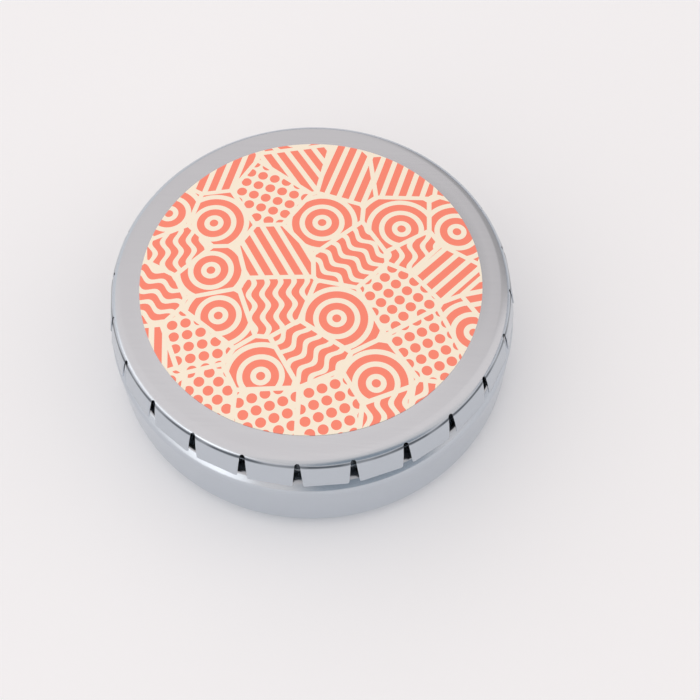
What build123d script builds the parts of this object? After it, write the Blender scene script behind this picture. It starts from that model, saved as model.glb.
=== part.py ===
from build123d import *

import os
from math import asin, cos, degrees, radians, sin, tan

# Click-lid mint tin in tinplate: a drawn base pan with a curled mouth, and a lid whose skirt is cut into tabs.
# Millimetres, +Z up. The tin stands on z = 0, its axis is Z, and one slot of the skirt lies on +X.

# Overall sizes
tin_diameter = 60.0
closed_height = 20.6
sheet = 0.25

# Lid: domed panel, flat rim and rounded shoulder, sizes on the outer skin
dome_rise = 0.85
rim_width = 1.8
panel_gap = 0.1
shoulder_radius = 1.8
shoulder_inset = 1.0

# Skirt: tabs that flare outwards between V slots with round tips
tab_count = 24
skirt_depth = 5.25
skirt_flare = 14.0
slot_tip_angle = 45.0
slot_tip_width = 0.75
slot_mouth_width = 1.5
hinge_gap = 0.05

# Label: a thin film stuck on the dome
label_margin = 0.8
label_film = 0.1
label_bond = 0.01

# Base pan, sizes on the outer skin
seat_clearance = 0.1
curl_radius_share = 0.5
curl_seat_angle = 23.0
curl_turn = 270.0
tab_clearance = 0.95
step_angle = 52.0
step_inset = 1.15
ledge_angle = 5.0
wall_bend_radius = 0.7
ledge_bend_radius = 0.8
neck_bend_radius = 0.4
heel_radius = 3.5
foot_width = 2.0
floor_rise = 0.5
floor_bend_radius = 0.6

# How far a cutting form runs past what it cuts
overrun = 1.0

# Places worked out from the sizes above
tin_radius = tin_diameter / 2
pitch = 360 / tab_count
rim_top = closed_height - label_film - label_bond - dome_rise
shoulder_z = rim_top - shoulder_radius
shoulder_edge = tin_radius - shoulder_inset
shoulder_r = shoulder_edge - shoulder_radius
panel_radius = shoulder_r - rim_width
label_radius = panel_radius - label_margin
dome_radius = (panel_radius**2 + dome_rise**2) / (2 * dome_rise)
dome_z = rim_top + dome_rise - dome_radius
slot_tip_z = shoulder_z + shoulder_radius * cos(radians(slot_tip_angle))
slot_straight_z = slot_tip_z - slot_tip_width / 2
hinge_elevation = degrees(asin((slot_straight_z - shoulder_z) / shoulder_radius))
tab_bottom = rim_top - skirt_depth

os.makedirs("parts", exist_ok=True)


def section_plane(angle):
    """Upright plane through the axis: its x runs outwards at the angle, its y runs up."""
    outwards = (cos(radians(angle)), sin(radians(angle)), 0)
    normal = (sin(radians(angle)), -cos(radians(angle)), 0)
    return Plane(origin=(0, 0, 0), x_dir=outwards, z_dir=normal)


def facing_plane(angle):
    """Upright plane through the axis, seen from outside at the angle: x runs round the tin, y runs up."""
    sideways = (-sin(radians(angle)), cos(radians(angle)), 0)
    outwards = (cos(radians(angle)), sin(radians(angle)), 0)
    return Plane(origin=(0, 0, 0), x_dir=sideways, z_dir=outwards)


def finish(piece, name):
    """Labels a finished piece and writes its STEP file."""
    piece.part.label = name
    export_step(piece.part, f"parts/{name}.step")


# Lid rim: the flat ring round the panel and the upper half of the shoulder, down to where the tabs bend
with BuildPart() as lid_rim:
    with BuildSketch(Plane.XZ) as rim_section:
        with BuildLine() as rim_line:
            Line(
                (panel_radius + panel_gap, rim_top - sheet / 2),
                (shoulder_r, rim_top - sheet / 2),
            )
            CenterArc(
                center=(shoulder_r, shoulder_z),
                radius=shoulder_radius - sheet / 2,
                start_angle=hinge_elevation,
                arc_size=90 - hinge_elevation,
            )
        trace(line_width=sheet)
    revolve(axis=Axis.Z)
    with BuildSketch(*[facing_plane(pitch * slot) for slot in range(tab_count)]) as slot_tips:
        with Locations((0, slot_straight_z)):
            Circle(slot_tip_width / 2)
        with Locations((0, slot_straight_z - overrun / 2)):
            Rectangle(slot_tip_width, overrun)
    extrude(amount=tin_radius + overrun, mode=Mode.SUBTRACT)
finish(lid_rim, "lid_rim")

# Lid panel: the shallow dome that is pressed in to open the tin
with BuildPart() as lid_panel:
    with BuildSketch(Plane.XZ) as panel_section:
        with BuildLine() as panel_line:
            panel_reach = degrees(asin(panel_radius / dome_radius))
            CenterArc(
                center=(0, dome_z),
                radius=dome_radius - sheet / 2,
                start_angle=90 - panel_reach,
                arc_size=panel_reach,
            )
        trace(line_width=sheet)
    revolve(axis=Axis.Z)
finish(lid_panel, "lid_panel")

# Label disc: thin film that follows the dome
with BuildPart() as label_disc:
    with BuildSketch(Plane.XZ) as label_section:
        with BuildLine() as label_line:
            label_reach = degrees(asin(label_radius / dome_radius))
            CenterArc(
                center=(0, dome_z),
                radius=dome_radius + label_bond + label_film / 2,
                start_angle=90 - label_reach,
                arc_size=label_reach,
            )
        trace(line_width=label_film)
    revolve(axis=Axis.Z)
finish(label_disc, "label_disc")

# Lid tabs: each is the lower half of the shoulder and a flat blade that flares outwards.
# The blade's corners meet the widest line of the shoulder, so in its middle the shoulder stands proud of it.
half_slot_angle = degrees(asin(slot_tip_width / 2 / shoulder_edge))
blade_top = shoulder_edge * cos(radians(pitch / 2 - half_slot_angle))
blade_bottom = blade_top + (shoulder_z - tab_bottom) * tan(radians(skirt_flare))
blade_skin = sheet / cos(radians(skirt_flare))
tab_elevation = hinge_elevation - degrees(hinge_gap / shoulder_radius)


def tab_form(start_angle, inset, past):
    """Filled form of one tab between two slot planes, inset from the outer skin and run past its ends."""
    with BuildPart() as form:
        with BuildSketch(section_plane(start_angle)) as shoulder_section:
            with BuildLine() as shoulder_line:
                lower_arc = CenterArc(
                    center=(shoulder_r, shoulder_z),
                    radius=shoulder_radius - inset,
                    start_angle=-90,
                    arc_size=90 + tab_elevation,
                )
                Line(lower_arc @ 1, (shoulder_r, shoulder_z))
                Line((shoulder_r, shoulder_z), lower_arc @ 0)
            make_face()
        revolve(axis=Axis.Z, revolution_arc=pitch)
        with BuildSketch(section_plane(start_angle + pitch / 2)) as blade_section:
            with BuildLine() as blade_line:
                skin = inset / sheet * blade_skin
                Polyline(
                    (shoulder_r - past, shoulder_z),
                    (blade_top - skin, shoulder_z),
                    (blade_bottom - skin + past * tan(radians(skirt_flare)), tab_bottom - past),
                    (shoulder_r - past, tab_bottom - past),
                    close=True,
                )
            make_face()
        extrude(amount=tin_radius * tan(radians(pitch / 2)), both=True)
    return form.part


with BuildPart() as first_tab:
    add(tab_form(0, 0, 0))
    add(tab_form(0, sheet, overrun), mode=Mode.SUBTRACT)
    for slot_angle, side in ((0, 1), (pitch, -1)):
        with BuildSketch(facing_plane(slot_angle)) as slot_side:
            with BuildLine() as slot_line:
                Polyline(
                    (side * slot_tip_width / 2, rim_top),
                    (side * slot_tip_width / 2, slot_straight_z),
                    (side * slot_mouth_width / 2, tab_bottom),
                    (side * slot_mouth_width / 2, tab_bottom - overrun),
                    (-side * tin_radius, tab_bottom - overrun),
                    (-side * tin_radius, rim_top),
                    close=True,
                )
            make_face()
        extrude(amount=tin_radius + overrun, mode=Mode.SUBTRACT)

for number in range(1, tab_count + 1):
    with BuildPart() as lid_tab:
        add(first_tab.part.rotate(Axis.Z, pitch * (number - 1)))
    finish(lid_tab, f"lid_tab_{number:02d}")

# Base pan: raised floor, foot ring, heel, wall, step in under the tabs, ledge, neck and rolled curl.
# The curl seats in the lid's shoulder, and the step passes clear under the lower edge of the tabs.
curl_radius = (shoulder_radius - sheet - seat_clearance) * curl_radius_share
curl_reach = shoulder_radius - sheet - seat_clearance - curl_radius
curl_r = shoulder_r + curl_reach * sin(radians(curl_seat_angle))
curl_z = shoulder_z + curl_reach * cos(radians(curl_seat_angle))
curl_line_radius = curl_radius - sheet / 2
neck_line = curl_r - curl_line_radius
wall_line = tin_radius - sheet / 2
ledge_line = wall_line - step_inset
tab_corner = blade_bottom - blade_skin
step_away = (tab_clearance + sheet / 2) / cos(radians(step_angle))
wall_corner = tab_bottom - step_away - (wall_line - tab_corner) * tan(radians(step_angle))
ledge_corner = wall_corner + step_inset * tan(radians(step_angle))
neck_corner = ledge_corner + (ledge_line - neck_line) * tan(radians(ledge_angle))
floor_radius = tin_radius - heel_radius - foot_width

with BuildPart() as tin_base:
    with BuildSketch(Plane.XZ) as base_section:
        with BuildLine() as base_line:
            FilletPolyline(
                (0, floor_rise + sheet / 2),
                (floor_radius - floor_rise, floor_rise + sheet / 2),
                (floor_radius, sheet / 2),
                (wall_line, sheet / 2),
                (wall_line, wall_corner),
                (ledge_line, ledge_corner),
                (neck_line, neck_corner),
                (neck_line, curl_z),
                radius=[
                    floor_bend_radius,
                    floor_bend_radius,
                    heel_radius - sheet / 2,
                    wall_bend_radius - sheet / 2,
                    ledge_bend_radius - sheet / 2,
                    neck_bend_radius,
                ],
            )
            CenterArc(
                center=(curl_r, curl_z),
                radius=curl_line_radius,
                start_angle=180,
                arc_size=-curl_turn,
            )
        trace(line_width=sheet)
    revolve(axis=Axis.Z)
finish(tin_base, "tin_base")
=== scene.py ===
import math

import bmesh
import bpy
import numpy as np
from mathutils import Matrix, Vector


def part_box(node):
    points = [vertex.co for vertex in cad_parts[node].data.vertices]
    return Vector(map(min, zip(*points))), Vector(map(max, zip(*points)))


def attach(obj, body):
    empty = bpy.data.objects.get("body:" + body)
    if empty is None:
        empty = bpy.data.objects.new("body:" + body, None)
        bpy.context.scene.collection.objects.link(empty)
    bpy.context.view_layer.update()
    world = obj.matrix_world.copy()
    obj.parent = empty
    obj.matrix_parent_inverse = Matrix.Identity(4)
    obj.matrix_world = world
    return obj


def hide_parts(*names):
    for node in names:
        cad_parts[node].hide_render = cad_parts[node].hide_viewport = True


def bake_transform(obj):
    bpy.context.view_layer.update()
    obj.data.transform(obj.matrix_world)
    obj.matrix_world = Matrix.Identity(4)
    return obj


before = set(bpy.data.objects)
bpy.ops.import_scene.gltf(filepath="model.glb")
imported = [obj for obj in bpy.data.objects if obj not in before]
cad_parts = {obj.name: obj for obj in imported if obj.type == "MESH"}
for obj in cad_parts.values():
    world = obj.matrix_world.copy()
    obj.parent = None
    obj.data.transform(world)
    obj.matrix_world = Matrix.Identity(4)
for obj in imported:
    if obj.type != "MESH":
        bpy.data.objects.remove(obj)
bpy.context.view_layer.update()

# Camera: where the photograph was taken from, above and in front of the tin and a little to its right.
# Its place is measured from the middle of the circle through the tips of the lid's slots.
MM = 0.001
view_azimuth = math.radians(2.67)
view_elevation = math.radians(61.15)
view_roll = math.radians(0.19)
view_distance = 169.5 * MM
view_right = 5.6 * MM
view_up = -9.8 * MM
slot_tips_height = 19.11 * MM
photo_lens = 60.4
photo_sensor = 36.0


def put_in_scene(name, data):
    """A new object at the origin that holds a mesh, a camera or a lamp."""
    thing = bpy.data.objects.new(name, data)
    bpy.context.scene.collection.objects.link(thing)
    return thing


back = Vector((
    math.sin(view_azimuth) * math.cos(view_elevation),
    -math.cos(view_azimuth) * math.cos(view_elevation),
    math.sin(view_elevation),
))
level_right = Vector((math.cos(view_azimuth), math.sin(view_azimuth), 0))
level_up = back.cross(level_right)
right = level_right * math.cos(view_roll) + level_up * math.sin(view_roll)
up = level_up * math.cos(view_roll) - level_right * math.sin(view_roll)
camera_place = Vector((0, 0, slot_tips_height)) + right * view_right + up * view_up + back * view_distance

camera_data = bpy.data.cameras.new("camera")
camera_data.lens = photo_lens
camera_data.sensor_width = photo_sensor
camera_data.clip_start = 1 * MM
camera_data.clip_end = 20
camera = put_in_scene("camera", camera_data)
camera.matrix_world = Matrix.Translation(camera_place) @ Matrix((right, up, back)).transposed().to_4x4()
bpy.context.scene.camera = camera
bpy.context.scene.view_settings.view_transform = "Standard"

# Base pan: the cup that holds the contents, one deep-drawn piece of 0.25 mm tinplate.
# It stands on a ring round a raised floor. Its wall steps in under the lid's tabs to a neck, and the mouth
# is rolled outwards into a curl, which the lid sits on.
sheet = 0.25 * MM
pan_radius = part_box("tin_base")[1].x
floor_rise = 0.5 * MM
floor_radius = 24.5 * MM
curl_radius = 0.725 * MM
curl_r = 27.483 * MM
curl_height = 18.507 * MM
floor_bend_radius = 0.6 * MM
heel_radius = 3.5 * MM
step_angle = math.radians(52)
step_inset = 1.15 * MM
ledge_angle = math.radians(5)
tab_corner = 29.4 * MM
tab_clearance = 0.95 * MM
neck_bend_radius = 0.4 * MM
pan_segments = 240
bend_step = math.radians(4)
sharp_bend = math.radians(40)

# These two bends are drawn rounder than in the solid, as soft as the light on them in the photograph
wall_bend_radius = 1.9 * MM
ledge_bend_radius = 1.0 * MM

# Painted shade darkens the ledge and the foot of the neck, which lie in shadow behind the tabs
shade_strength = 0.85
shade_ledge_reach = 0.5 * MM
shade_ledge_fade = 0.9 * MM
shade_neck_reach = 1.5 * MM
shade_neck_fade = 0.5 * MM


def rounded_path(corners, radii):
    """Points (r, z) along a run of straight lines, each inner corner rounded to its radius."""
    points = [np.array(corners[0])]
    for before, corner, after, radius in zip(corners, corners[1:], corners[2:], radii):
        corner = np.array(corner)
        way_in = corner - np.array(before)
        way_out = np.array(after) - corner
        way_in = way_in / np.linalg.norm(way_in)
        way_out = way_out / np.linalg.norm(way_out)
        turn = math.acos(np.clip(way_in @ way_out, -1, 1))
        side = np.sign(way_in[0] * way_out[1] - way_in[1] * way_out[0])
        start = corner - way_in * radius * math.tan(turn / 2)
        normal = side * np.array((-way_in[1], way_in[0]))
        centre = start + normal * radius
        steps = max(2, math.ceil(turn / bend_step))
        for step in range(steps + 1):
            angle = turn * step / steps
            points.append(centre - normal * radius * math.cos(angle) + way_in * radius * math.sin(angle))
    points.append(np.array(corners[-1]))
    return points


def arc_path(centre, radius, start, end):
    """Points (r, z) along an arc from one angle to another, in radians from the outward direction."""
    steps = max(2, math.ceil(abs(end - start) / bend_step))
    angles = np.linspace(start, end, steps + 1)
    return [np.array((centre[0] + radius * math.cos(a), centre[1] + radius * math.sin(a))) for a in angles]


def spun_sheet(name, middle_line, thickness, segments):
    """A closed sheet-metal shell: the middle line of its section, thickened both ways and spun round Z."""
    same_place = thickness / 1000
    line = [middle_line[0]]
    for point in middle_line[1:]:
        if np.linalg.norm(point - line[-1]) > same_place:
            line.append(point)
    line = np.array(line)
    ahead = np.diff(line, axis=0)
    ahead = ahead / np.linalg.norm(ahead, axis=1)[:, None]
    along = np.vstack((ahead[:1], ahead[:-1] + ahead[1:], ahead[-1:]))
    along = along / np.linalg.norm(along, axis=1)[:, None]
    if line[0][0] == 0:
        along[0] = (1, 0)
    across = np.column_stack((-along[:, 1], along[:, 0])) * thickness / 2
    loop = np.vstack((line + across, (line - across)[::-1]))
    form = bmesh.new()
    rings = []
    for segment in range(segments):
        angle = 2 * math.pi * segment / segments
        turn = (math.cos(angle), math.sin(angle))
        rings.append([form.verts.new((r * turn[0], r * turn[1], z)) for r, z in loop])
    for ring, following in zip(rings, rings[1:] + rings[:1]):
        for place in range(len(loop) - 1):
            form.faces.new((ring[place], ring[place + 1], following[place + 1], following[place]))
    bmesh.ops.remove_doubles(form, verts=form.verts, dist=same_place)
    bmesh.ops.recalc_face_normals(form, faces=form.faces)
    mesh = bpy.data.meshes.new(name)
    form.to_mesh(mesh)
    form.free()
    mesh.shade_smooth()
    mesh.set_sharp_from_angle(angle=sharp_bend)
    return put_in_scene(name, mesh)


def linear(hex_colour):
    """An sRGB hex colour as the linear RGBA that shader sockets take."""
    values = [int(hex_colour[place:place + 2], 16) / 255 for place in (1, 3, 5)]
    return [v / 12.92 if v <= 0.04045 else ((v + 0.055) / 1.055) ** 2.4 for v in values] + [1.0]


def add_node(tree, kind, inputs, **settings):
    """Adds a node with its settings.

    Each input is a value or the socket that feeds it, and a node stands for its first output in use.
    """
    node = tree.nodes.new(kind)
    for name, value in settings.items():
        setattr(node, name, value)
    for name, value in inputs.items():
        if isinstance(value, bpy.types.Node):
            value = next(socket for socket in value.outputs if socket.enabled)
        if isinstance(value, bpy.types.NodeSocket):
            tree.links.new(value, node.inputs[name])
        else:
            node.inputs[name].default_value = value
    return node


def empty_material(name):
    """A material with nodes and none of the stock ones."""
    material = bpy.data.materials.new(name)
    material.use_nodes = True
    material.node_tree.nodes.clear()
    return material


def tinplate_finish():
    """Bare tinplate, cold rolled and bright annealed: satin, with a fine grain that runs one way.

    The rolls leave grain lines about 0.05 mm apart; they are drawn at 0.3 mm, so that they show.
    Handling leaves the shine a little uneven over about 6 mm. Painted shade darkens the colour in patches
    where shade falls in creases and behind the tabs, and a sheared edge shows the bare steel core.
    """
    material = empty_material("satin_tinplate")
    tree = material.node_tree
    grain_width = 0.3 * MM
    grain_stretch = 40
    grain_relief = 0.02 * MM
    grain_roughness = 0.05
    cloud_width = 6 * MM
    sheared_roughness = 0.3
    tin_dark = linear("#C0C6CE")
    tin_light = linear("#C7CED5")
    # Painted shade: the colour that the tin is darkened towards where shade falls
    shade_colour = linear("#5C636A")
    bare_steel = linear("#5A5F63")

    place = add_node(tree, "ShaderNodeTexCoord", {}).outputs["Object"]
    stretched = add_node(tree, "ShaderNodeMapping", {
        "Vector": place,
        "Scale": (1 / grain_width / grain_stretch, 1 / grain_width, 1 / grain_width),
    })
    grain = add_node(tree, "ShaderNodeTexNoise", {
        "Vector": stretched, "Scale": 1.0, "Detail": 3.0, "Roughness": 0.6,
    }).outputs["Fac"]
    clouds = add_node(tree, "ShaderNodeTexNoise", {
        "Vector": place, "Scale": 1 / cloud_width, "Detail": 2.0, "Roughness": 0.5,
    }).outputs["Fac"]
    # The crease attribute holds painted shade: how far the tin's colour is darkened at a point
    creased = add_node(tree, "ShaderNodeAttribute", {}, attribute_name="crease").outputs["Fac"]
    sheared = add_node(tree, "ShaderNodeAttribute", {}, attribute_name="sheared").outputs["Fac"]

    uneven = add_node(tree, "ShaderNodeMapRange", {
        "Value": clouds, "From Min": 0.3, "From Max": 0.7, "To Min": 0.17, "To Max": 0.21,
    })
    rough = add_node(tree, "ShaderNodeMath", {
        0: grain, 1: grain_roughness, 2: uneven,
    }, operation="MULTIPLY_ADD")
    rougher = add_node(tree, "ShaderNodeMath", {
        0: sheared, 1: sheared_roughness, 2: rough,
    }, operation="MULTIPLY_ADD")
    # Painted shade, broken into patches, mixed into the tin's colour
    patchy = add_node(tree, "ShaderNodeMapRange", {
        "Value": clouds, "From Min": 0.35, "From Max": 0.55, "To Min": 0.6, "To Max": 1.0,
    })
    shade_share = add_node(tree, "ShaderNodeMath", {0: creased, 1: patchy}, operation="MULTIPLY")
    tin = add_node(tree, "ShaderNodeMix", {"Factor": grain, "A": tin_dark, "B": tin_light}, data_type="RGBA")
    shaded_tin = add_node(tree, "ShaderNodeMix", {"Factor": shade_share, "A": tin, "B": shade_colour}, data_type="RGBA")
    steel = add_node(tree, "ShaderNodeMix", {
        "Factor": sheared, "A": shaded_tin, "B": bare_steel,
    }, data_type="RGBA")
    relief = add_node(tree, "ShaderNodeBump", {"Height": grain, "Strength": 0.05, "Distance": grain_relief})
    metal = add_node(tree, "ShaderNodeBsdfPrincipled", {
        "Base Color": steel, "Metallic": 1.0, "Roughness": rougher, "Normal": relief,
    })
    add_node(tree, "ShaderNodeOutputMaterial", {"Surface": metal})
    return material


satin_tinplate = tinplate_finish()
wall_line = pan_radius - sheet / 2
curl_line_radius = curl_radius - sheet / 2
neck_line = curl_r - curl_line_radius
ledge_line = wall_line - step_inset
tab_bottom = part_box("lid_tab_01")[0].z
step_reach = math.sin(step_angle) * tab_corner + math.cos(step_angle) * tab_bottom - tab_clearance - sheet / 2
wall_corner = (step_reach - math.sin(step_angle) * wall_line) / math.cos(step_angle)
ledge_corner = (step_reach - math.sin(step_angle) * ledge_line) / math.cos(step_angle)
pan_line = rounded_path(
    (
        (0, floor_rise + sheet / 2),
        (floor_radius - floor_rise, floor_rise + sheet / 2),
        (floor_radius, sheet / 2),
        (wall_line, sheet / 2),
        (wall_line, wall_corner),
        (ledge_line, ledge_corner),
        (neck_line, ledge_corner + (ledge_line - neck_line) * math.tan(ledge_angle)),
        (neck_line, curl_height),
    ),
    (
        floor_bend_radius,
        floor_bend_radius,
        heel_radius - sheet / 2,
        wall_bend_radius - sheet / 2,
        ledge_bend_radius - sheet / 2,
        neck_bend_radius,
    ),
)
pan_line += arc_path((curl_r, curl_height), curl_line_radius, math.pi, -math.pi / 2)
pan = spun_sheet("base_pan", pan_line, sheet, pan_segments)
pan.data.materials.append(satin_tinplate)
# Painted shade in the crease attribute, fading out along the step and up the neck
pan_shade = pan.data.attributes.new("crease", "FLOAT", "POINT")
for vertex, shade_share in zip(pan.data.vertices, pan_shade.data):
    place = vertex.co
    normal = vertex.normal
    radius = math.hypot(place.x, place.y)
    outlook = (normal.x * place.x + normal.y * place.y) / max(radius, MM)
    if normal.z + outlook > 0 and place.z > wall_corner:
        down_step = (ledge_line + shade_ledge_reach - radius) / shade_ledge_fade
        up_neck = (ledge_corner + shade_neck_reach - place.z) / shade_neck_fade
        shade_share.value = shade_strength * min(max(min(down_step, up_neck), 0), 1)
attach(pan, "base")
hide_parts("tin_base")

# Lid sheet: the domed panel, the flat rim round it and the top of the rounded shoulder, pressed in one
# from the same tinplate. The thumb snaps the dome inwards, and the rim round it stays put.
rim_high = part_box("lid_rim")[1].z
panel_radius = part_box("lid_panel")[1].x
dome_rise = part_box("lid_panel")[1].z - rim_high
shoulder_radius = 1.8 * MM
shoulder_edge = pan_radius - 1.0 * MM
shoulder_r = shoulder_edge - shoulder_radius
shoulder_height = rim_high - shoulder_radius
slot_tip_angle = math.radians(45)
panel_blend_radius = 20 * MM
panel_blend_inset = panel_blend_radius * math.radians(2)
dome_rings = 40


def dome_line(radius, offset):
    """Points (r, z) over the dome from the crown outwards, offset upwards from its outer skin."""
    dome_radius = (panel_radius ** 2 + dome_rise ** 2) / (2 * dome_rise)
    centre = rim_high + dome_rise - dome_radius
    reach = math.asin(radius / dome_radius)
    angles = np.linspace(0, reach, dome_rings)
    return [
        np.array(((dome_radius + offset) * math.sin(a), centre + (dome_radius + offset) * math.cos(a)))
        for a in angles
    ]


def follow_the_snap(piece):
    """Bakes a piece's place into its mesh and reads its points, but moves none of them.
    """
    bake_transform(piece)
    places = np.zeros(len(piece.data.vertices) * 3)
    piece.data.vertices.foreach_get("co", places)
    places = places.reshape(-1, 3)


crown_line = dome_line(panel_radius - panel_blend_inset, -sheet / 2)
lid_line = crown_line[:-1] + rounded_path(
    (
        crown_line[-1],
        (panel_radius, rim_high - sheet / 2),
        (shoulder_r, rim_high - sheet / 2),
    ),
    (panel_blend_radius,),
)
lid_line += arc_path(
    (shoulder_r, shoulder_height), shoulder_radius - sheet / 2, math.pi / 2, math.pi / 2 - slot_tip_angle,
)
lid_sheet = spun_sheet("lid_sheet", lid_line, sheet, pan_segments)
lid_sheet.data.materials.append(satin_tinplate)
follow_the_snap(lid_sheet)
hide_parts("lid_rim", "lid_panel")

# Label: a disc of thin printed vinyl film, cut with a round die and stuck on the dome.
# Its print is a plain patchwork of rings, stripes, waves and dots in coral on cream.
label_film = 0.1 * MM
label_bond = 0.01 * MM
label_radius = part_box("label_disc")[1].x


def printed_film_finish():
    """Vinyl film, digitally printed and sealed: smooth, with a low satin gloss over flat colours.

    The seal coat is a little uneven over about 0.4 mm. Rings, stripes and waves have their lines 1.9 mm
    apart, and the dots stand as far apart.
    """
    material = empty_material("printed_vinyl_film")
    tree = material.node_tree
    patch_width = 8.5 * MM
    patch_randomness = 0.8
    gap_width = 0.35 * MM
    line_spacing = 1.9 * MM
    lines = patch_width / line_spacing
    mottle_width = 0.4 * MM
    mottle_relief = 0.02 * MM
    cream = linear("#F9F3E0")
    coral = linear("#FB8B75")

    # Shares of the line spacing, and for the ripple of the patch width
    line_start = 0.25
    line_share = 0.58
    dot_radius = 0.39
    ripple_height = 0.05

    # The draw from which a patch holds these instead of rings
    stripes_from = 0.3
    waves_from = 0.55
    dots_from = 0.8

    place = add_node(tree, "ShaderNodeTexCoord", {}).outputs["Object"]
    flat = add_node(tree, "ShaderNodeMapping", {
        "Vector": place, "Scale": (1 / patch_width, 1 / patch_width, 0),
    })
    patches = add_node(tree, "ShaderNodeTexVoronoi", {
        "Vector": flat, "Scale": 1.0, "Randomness": patch_randomness,
    }, voronoi_dimensions="2D").outputs
    edges = add_node(tree, "ShaderNodeTexVoronoi", {
        "Vector": flat, "Scale": 1.0, "Randomness": patch_randomness,
    }, voronoi_dimensions="2D", feature="DISTANCE_TO_EDGE").outputs
    draw = add_node(tree, "ShaderNodeSeparateColor", {"Color": patches["Color"]}).outputs
    turn = add_node(tree, "ShaderNodeMath", {0: draw["Red"], 1: 2 * math.pi}, operation="MULTIPLY")
    from_middle = add_node(tree, "ShaderNodeVectorMath", {
        0: flat, 1: patches["Position"],
    }, operation="SUBTRACT")
    turned = add_node(tree, "ShaderNodeVectorRotate", {
        "Vector": from_middle, "Angle": turn,
    }, rotation_type="Z_AXIS")
    sides = add_node(tree, "ShaderNodeSeparateXYZ", {"Vector": turned}).outputs

    ring_reach = add_node(tree, "ShaderNodeVectorMath", {0: turned}, operation="LENGTH")
    ripple_turn = add_node(tree, "ShaderNodeMath", {0: sides["Y"], 1: math.pi * lines}, operation="MULTIPLY")
    ripple = add_node(tree, "ShaderNodeMath", {0: ripple_turn}, operation="SINE")
    wave_reach = add_node(tree, "ShaderNodeMath", {
        0: ripple, 1: ripple_height, 2: sides["X"],
    }, operation="MULTIPLY_ADD")
    lined = []
    for reach in (ring_reach, sides["X"], wave_reach):
        count = add_node(tree, "ShaderNodeMath", {
            0: reach, 1: lines, 2: line_start,
        }, operation="MULTIPLY_ADD")
        part = add_node(tree, "ShaderNodeMath", {0: count}, operation="FRACT")
        lined.append(add_node(tree, "ShaderNodeMath", {0: part, 1: line_share}, operation="LESS_THAN"))
    rings, stripes, waves = lined

    cells = add_node(tree, "ShaderNodeVectorMath", {0: turned, "Scale": lines}, operation="SCALE")
    in_cell = add_node(tree, "ShaderNodeVectorMath", {0: cells}, operation="FRACTION")
    off_dot = add_node(tree, "ShaderNodeVectorMath", {0: in_cell, 1: (0.5, 0.5, 0)}, operation="SUBTRACT")
    dot_reach = add_node(tree, "ShaderNodeVectorMath", {0: off_dot}, operation="LENGTH")
    dots = add_node(tree, "ShaderNodeMath", {0: dot_reach, 1: dot_radius}, operation="LESS_THAN")

    motif = rings
    for start, other in ((stripes_from, stripes), (waves_from, waves), (dots_from, dots)):
        later = add_node(tree, "ShaderNodeMath", {0: draw["Green"], 1: start}, operation="GREATER_THAN")
        motif = add_node(tree, "ShaderNodeMix", {"Factor": later, "A": motif, "B": other}, data_type="FLOAT")
    inside = add_node(tree, "ShaderNodeMath", {
        0: edges["Distance"], 1: gap_width / patch_width,
    }, operation="GREATER_THAN")
    ink = add_node(tree, "ShaderNodeMath", {0: motif, 1: inside}, operation="MULTIPLY")
    colour = add_node(tree, "ShaderNodeMix", {"Factor": ink, "A": cream, "B": coral}, data_type="RGBA")

    mottle = add_node(tree, "ShaderNodeTexNoise", {
        "Vector": place, "Scale": 1 / mottle_width, "Detail": 2.0,
    }).outputs["Fac"]
    relief = add_node(tree, "ShaderNodeBump", {"Height": mottle, "Strength": 0.03, "Distance": mottle_relief})
    film = add_node(tree, "ShaderNodeBsdfPrincipled", {
        "Base Color": colour, "Roughness": 0.5, "IOR": 1.5, "Normal": relief,
    })
    add_node(tree, "ShaderNodeOutputMaterial", {"Surface": film})
    return material


label = spun_sheet("label", dome_line(label_radius, label_bond + label_film / 2), label_film, pan_segments)
label.data.materials.append(printed_film_finish())
follow_the_snap(label)
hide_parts("label_disc")

# Skirt tabs: the lid's edge is slotted all round, and each tab between two slots is bent down over the
# shoulder and flared outwards as a flat blade. They spread when the dome is snapped in.
# One tab is modelled, and a node tree sets copies of it round the lid.
tab_count = len([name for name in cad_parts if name.startswith("lid_tab_")])
half_pitch = math.pi / tab_count
skirt_flare = math.radians(14)
flare_spread = 0.04 * MM
flare_seed = 5
slot_tip_half = 0.375 * MM
slot_tip_width = 2 * slot_tip_half
slot_mouth_half = 0.75 * MM

# The crease where the blade leaves the shoulder. Its painted shade line fades out at so many half widths.
crease_elevation = math.radians(24)
crease_width = 0.42 * MM
crease_reach = 0.75 * crease_width
crease_depth = 0.05 * MM
crease_bow = 0.1 * MM
crease_shade_reach = 1.5
crease_zone = 1.5 * crease_width
flattening = 2.0 * MM

# The edges: rolled in by the punch, then just rounded where they are sheared. A face that looks outwards
# by less than the last share is a sheared one.
punch_roll_width = 0.4 * MM
punch_roll_depth = 0.12 * MM
edge_rounding = 0.04 * MM
edge_turn = math.radians(60)
sheared_outlook = 0.45

# How many rows and columns of points a tab has, and how often its half width is refined at each height
tip_rows = 9
crease_rows = 24
blade_rows = 12
roll_columns = 5
middle_columns = 25
reach_rounds = 6

slot_tip_height = shoulder_height + shoulder_radius * math.cos(slot_tip_angle)
slot_straight_height = slot_tip_height - slot_tip_half
crease_r = shoulder_r + shoulder_radius * math.cos(crease_elevation)
crease_height = shoulder_height + shoulder_radius * math.sin(crease_elevation)
blade_top = shoulder_edge * math.cos(half_pitch - slot_tip_half / shoulder_edge)
blade_bottom = blade_top + (shoulder_height - tab_bottom) * math.tan(skirt_flare)


def off_crease(y, height):
    """How far a point lies above the crease, which bows up a little towards the slots."""
    return height - crease_height - crease_bow * (y / (shoulder_edge * math.tan(half_pitch))) ** 2


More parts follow.
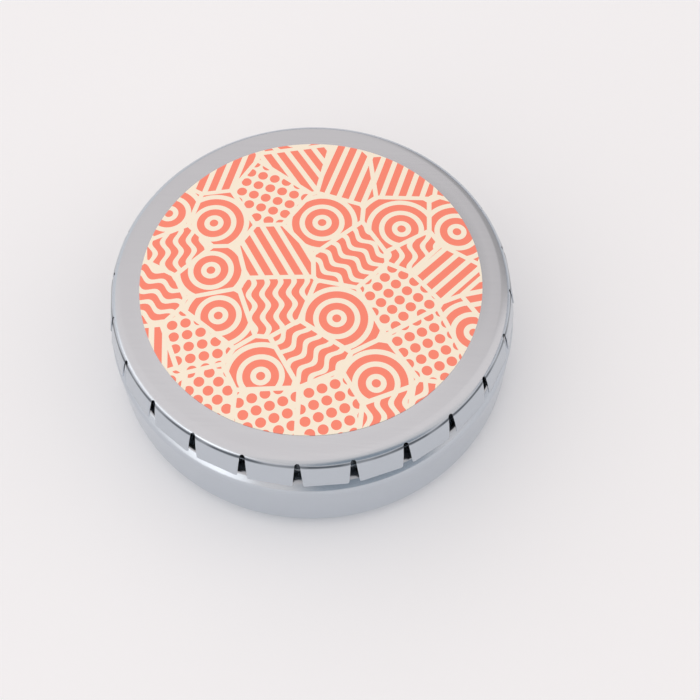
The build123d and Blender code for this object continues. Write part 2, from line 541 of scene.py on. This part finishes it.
def skin_x(y, height):
    """How far out the outer skin of the tab lies: round on the shoulder, then creased, then a flat blade."""
    if height > crease_height:
        round_r = shoulder_r + math.sqrt(shoulder_radius ** 2 - (height - shoulder_height) ** 2)
        smooth = math.sqrt(round_r ** 2 - y ** 2)
    else:
        down = (crease_height - height) / (crease_height - tab_bottom)
        roundness = max(1 - (crease_height - height) / flattening, 0) ** 2
        sag = crease_r - math.sqrt(crease_r ** 2 - y ** 2)
        smooth = crease_r + (blade_bottom - crease_r) * down - sag * roundness
    near = max(1 - abs(off_crease(y, height)) / crease_reach, 0)
    return smooth - crease_depth * (1 - math.cos(math.pi * near)) / 2


def half_slot(height):
    """Half the width of the slot at a height: round at its tip, then widening to its mouth."""
    if height > slot_straight_height:
        return math.sqrt(max(slot_tip_half ** 2 - (height - slot_straight_height) ** 2, 0))
    share = (slot_straight_height - height) / (slot_straight_height - tab_bottom)
    return slot_tip_half + (slot_mouth_half - slot_tip_half) * share


def tab_surface():
    """Rows of points over the outer skin of a tab whose middle lies on +X, from the top down."""
    tip_turns = np.linspace(0, math.pi / 2, tip_rows)
    heights = [slot_straight_height + slot_tip_half * math.cos(turn) for turn in tip_turns]
    heights += list(np.linspace(heights[-1], crease_height - crease_zone, crease_rows)[1:])
    heights += list(np.linspace(heights[-1], tab_bottom, blade_rows)[1:])
    from_edge = punch_roll_width * np.linspace(0, 1, roll_columns + 1)[:-1]
    rows = []
    for height in heights:
        reach = shoulder_edge * math.tan(half_pitch)
        for _ in range(reach_rounds):
            reach = skin_x(reach, height) * math.tan(half_pitch) - half_slot(height) / math.cos(half_pitch)
        inner = np.linspace(punch_roll_width - reach, reach - punch_roll_width, middle_columns)
        down = min(max((slot_straight_height - height) / slot_tip_width, 0), 1)
        row = []
        for y in (*(from_edge - reach), *inner, *(reach - from_edge[::-1])):
            rolled = max(1 - (reach - abs(y)) / punch_roll_width, 0) ** 2
            row.append((skin_x(y, height) - punch_roll_depth * rolled * down, y, height))
        rows.append(row)
    return rows


def one_tab():
    """A tab as a closed piece of sheet, with its sheared edges just rounded.

    Its attributes say which faces are sheared, how much painted shade darkens the crease at a point,
    and how far down the blade the point lies.
    """
    form = bmesh.new()
    grid = [[form.verts.new(point) for point in row] for row in tab_surface()]
    for upper, lower in zip(grid, grid[1:]):
        for place in range(len(upper) - 1):
            form.faces.new((upper[place], lower[place], lower[place + 1], upper[place + 1]))
    mesh = bpy.data.meshes.new("one_tab")
    form.to_mesh(mesh)
    form.free()
    tab = put_in_scene("one_tab", mesh)
    thicken = tab.modifiers.new("thicken", "SOLIDIFY")
    thicken.thickness = sheet
    thicken.offset = -1
    thicken.use_even_offset = True
    thick = bpy.data.meshes.new_from_object(tab.evaluated_get(bpy.context.evaluated_depsgraph_get()))
    tab.modifiers.clear()
    tab.data = thick
    form = bmesh.new()
    form.from_mesh(thick)
    bmesh.ops.recalc_face_normals(form, faces=form.faces)
    form.normal_update()
    cut_faces = form.faces.layers.float.new("sheared")
    for face in form.faces:
        face[cut_faces] = 1.0 if abs(face.normal.x) < sheared_outlook else 0.0
    rounded_below = slot_tip_height - slot_tip_half / 4
    sheared = [
        edge for edge in form.edges
        if edge.is_manifold
        and edge.calc_face_angle() > edge_turn
        and max(v.co.z for v in edge.verts) < rounded_below
    ]
    bmesh.ops.bevel(form, geom=sheared, offset=edge_rounding, segments=2, affect="EDGES", profile=0.5)
    form.to_mesh(thick)
    form.free()
    down_blade = thick.attributes.new("down_blade", "FLOAT", "POINT")
    # Painted shade along the crease, kept in the crease attribute
    crease = thick.attributes.new("crease", "FLOAT", "POINT")
    blade_depth = shoulder_height - tab_bottom
    for vertex, lean, shade_here in zip(thick.vertices, down_blade.data, crease.data):
        lean.value = min(max((shoulder_height - vertex.co.z) / blade_depth, 0), 1)
        away = abs(off_crease(vertex.co.y, vertex.co.z)) / (crease_width / 2)
        shade_here.value = min(max(crease_shade_reach - away, 0), 1)
    return tab


def skirt_tree():
    """Node tree that sets copies of one tab round the lid and keeps the one with the given number."""
    tree = bpy.data.node_groups.new("skirt_ring", "GeometryNodeTree")
    sockets = (
        ("Tab", "NodeSocketObject"),
        ("Number of Tabs", "NodeSocketInt"),
        ("Tab Number", "NodeSocketInt"),
        ("Flare Spread", "NodeSocketFloat"),
        ("Material", "NodeSocketMaterial"),
    )
    for name, kind in sockets:
        tree.interface.new_socket(name, in_out="INPUT", socket_type=kind)
    tree.interface.new_socket("Geometry", in_out="OUTPUT", socket_type="NodeSocketGeometry")
    given = add_node(tree, "NodeGroupInput", {}).outputs

    places = add_node(tree, "GeometryNodePoints", {"Count": given["Number of Tabs"]})
    index = add_node(tree, "GeometryNodeInputIndex", {})
    wanted = add_node(tree, "ShaderNodeMath", {0: given["Tab Number"], 1: 1.0}, operation="SUBTRACT")
    chosen = add_node(tree, "FunctionNodeCompare", {
        "A": index, "B": wanted,
    }, data_type="FLOAT", operation="EQUAL")
    middle = add_node(tree, "ShaderNodeMath", {0: index, 1: 0.5}, operation="ADD")
    share = add_node(tree, "ShaderNodeMath", {0: middle, 1: given["Number of Tabs"]}, operation="DIVIDE")
    turn = add_node(tree, "ShaderNodeMath", {0: share, 1: 2 * math.pi}, operation="MULTIPLY")
    turned = add_node(tree, "ShaderNodeCombineXYZ", {"Z": turn})
    shape = add_node(tree, "GeometryNodeObjectInfo", {"Object": given["Tab"]}).outputs["Geometry"]
    ring = add_node(tree, "GeometryNodeInstanceOnPoints", {
        "Points": places, "Selection": chosen, "Instance": shape, "Rotation": turned,
    })
    solid = add_node(tree, "GeometryNodeRealizeInstances", {"Geometry": ring})

    stray = add_node(tree, "FunctionNodeRandomValue", {
        "Min": -1.0, "Max": 1.0, "ID": given["Tab Number"], "Seed": flare_seed,
    }, data_type="FLOAT")
    down_blade = add_node(tree, "GeometryNodeInputNamedAttribute", {"Name": "down_blade"}, data_type="FLOAT")
    give = add_node(tree, "ShaderNodeMath", {0: stray, 1: given["Flare Spread"]}, operation="MULTIPLY")
    lean = add_node(tree, "ShaderNodeMath", {0: give, 1: down_blade}, operation="MULTIPLY")
    spot = add_node(tree, "GeometryNodeInputPosition", {})
    level = add_node(tree, "ShaderNodeVectorMath", {0: spot, 1: (1, 1, 0)}, operation="MULTIPLY")
    outwards = add_node(tree, "ShaderNodeVectorMath", {0: level}, operation="NORMALIZE")
    shift = add_node(tree, "ShaderNodeVectorMath", {0: outwards, "Scale": lean}, operation="SCALE")
    leaning = add_node(tree, "GeometryNodeSetPosition", {"Geometry": solid, "Offset": shift})
    finished = add_node(tree, "GeometryNodeSetMaterial", {"Geometry": leaning, "Material": given["Material"]})
    add_node(tree, "NodeGroupOutput", {"Geometry": finished})
    return tree


def skirt_tab(number, shape, tree):
    """The tab with that number as a plain mesh in its place."""
    body = f"tab_{number:02d}"
    carrier = put_in_scene("carrier", bpy.data.meshes.new("carrier"))
    ring = carrier.modifiers.new("ring", "NODES")
    ring.node_group = tree
    values = {
        "Tab": shape,
        "Number of Tabs": tab_count,
        "Tab Number": number,
        "Flare Spread": flare_spread,
        "Material": satin_tinplate,
    }
    for socket in tree.interface.items_tree:
        if socket.in_out == "INPUT":
            ring[socket.identifier] = values[socket.name]
    mesh = bpy.data.meshes.new_from_object(carrier.evaluated_get(bpy.context.evaluated_depsgraph_get()))
    bpy.data.objects.remove(carrier)
    mesh.name = body
    mesh.shade_smooth()
    mesh.set_sharp_from_angle(angle=sharp_bend)
    return put_in_scene(f"skirt_{body}", mesh)


tab_shape = one_tab()
ring_tree = skirt_tree()
for number in range(1, tab_count + 1):
    tab = skirt_tab(number, tab_shape, ring_tree)
    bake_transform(tab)
    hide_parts(f"lid_tab_{number:02d}")
bpy.data.objects.remove(tab_shape)

# Studio: a plain pale floor, a dim strip light low on the left, and a tent of pale cloth all round that is
# open at the front. The metal mirrors the tent, so the tent's shades are its lights and darks.
floor_size = 4.0
floor_mesh = bpy.data.meshes.new("floor")
floor_mesh.from_pydata(
    [(x * floor_size / 2, y * floor_size / 2, 0) for x, y in ((-1, -1), (1, -1), (1, 1), (-1, 1))],
    [], [(0, 1, 2, 3)],
)
floor = put_in_scene("floor", floor_mesh)
floor_material = empty_material("studio_floor")
floor_surface = add_node(floor_material.node_tree, "ShaderNodeBsdfDiffuse", {"Color": linear("#F4FAFF")})
add_node(floor_material.node_tree, "ShaderNodeOutputMaterial", {"Surface": floor_surface})
floor_mesh.materials.append(floor_material)

tin_middle = Vector((0, 0, 10 * MM))
strip_place = Vector((-0.34, -0.44, 0.09))
strip_data = bpy.data.lights.new("strip_left", "AREA")
strip_data.shape = "RECTANGLE"
strip_data.size = 0.3
strip_data.size_y = 0.08
strip_data.energy = 0.05
strip = put_in_scene("strip_left", strip_data)
strip.location = strip_place
strip.rotation_euler = (strip_place - tin_middle).to_track_quat("Z", "Y").to_euler()

tent_strength = 1.85
tent_top = linear("#CAC1BD")
tent_behind = linear("#BFB6B2")
tent_right = linear("#948E8B")
tent_front = linear("#BDB7B4")
low_left = linear("#F8F5F3")
low_behind = linear("#B9BABB")
low_right = linear("#7A8189")
open_front = linear("#787F86")
opening_azimuth = math.radians(27)
opening_elevation = math.radians(7)

# Where one shade of the tent gives way to the next: from and to, as the x, y or z of the direction
behind_to_right = (0, 0.3)
top_to_behind = (0.35, 0.6)
low_left_to_behind = (-0.05, 0.4)
left_to_right = (-0.6, -0.25)
down_at_left = (0.34, 0.18)
down_at_right = (0.16, 0.06)

# The same round the opening, as the cosine of the angle from its middle
round_the_opening = (0.55, 0.7)
into_the_opening = (0.82, 0.93)

world = bpy.data.worlds.new("studio")
world.use_nodes = True
world.node_tree.nodes.clear()


def give_way(measure, span, first, second):
    """One shade of the tent that gives way to another over a span of a measure, eased at both ends."""
    share = add_node(world.node_tree, "ShaderNodeMapRange", {
        "Value": measure, "From Min": span[0], "From Max": span[1],
    }, interpolation_type="SMOOTHSTEP")
    return add_node(world.node_tree, "ShaderNodeMix", {
        "Factor": share, "A": first, "B": second,
    }, data_type="RGBA")


opening = Vector((
    math.sin(opening_azimuth) * math.cos(opening_elevation),
    -math.cos(opening_azimuth) * math.cos(opening_elevation),
    math.sin(opening_elevation),
))
towards = add_node(world.node_tree, "ShaderNodeTexCoord", {}).outputs["Generated"]
sides = add_node(world.node_tree, "ShaderNodeSeparateXYZ", {"Vector": towards}).outputs
in_front = add_node(world.node_tree, "ShaderNodeVectorMath", {
    0: towards, 1: opening,
}, operation="DOT_PRODUCT")
behind = give_way(sides["X"], behind_to_right, tent_behind, tent_right)
tent = give_way(sides["Y"], top_to_behind, tent_top, behind)
lit_side = give_way(sides["Y"], low_left_to_behind, low_left, low_behind)
low = give_way(sides["X"], left_to_right, lit_side, low_right)
left_half = give_way(sides["Z"], down_at_left, tent, low)
right_half = give_way(sides["Z"], down_at_right, tent, low)
ringed = give_way(sides["X"], left_to_right, left_half, right_half)
dimmed = give_way(in_front, round_the_opening, ringed, tent_front)
surround = give_way(in_front, into_the_opening, dimmed, open_front)
studio_light = add_node(world.node_tree, "ShaderNodeBackground", {
    "Color": surround, "Strength": tent_strength,
})
add_node(world.node_tree, "ShaderNodeOutputWorld", {"Surface": studio_light})
bpy.context.scene.world = world
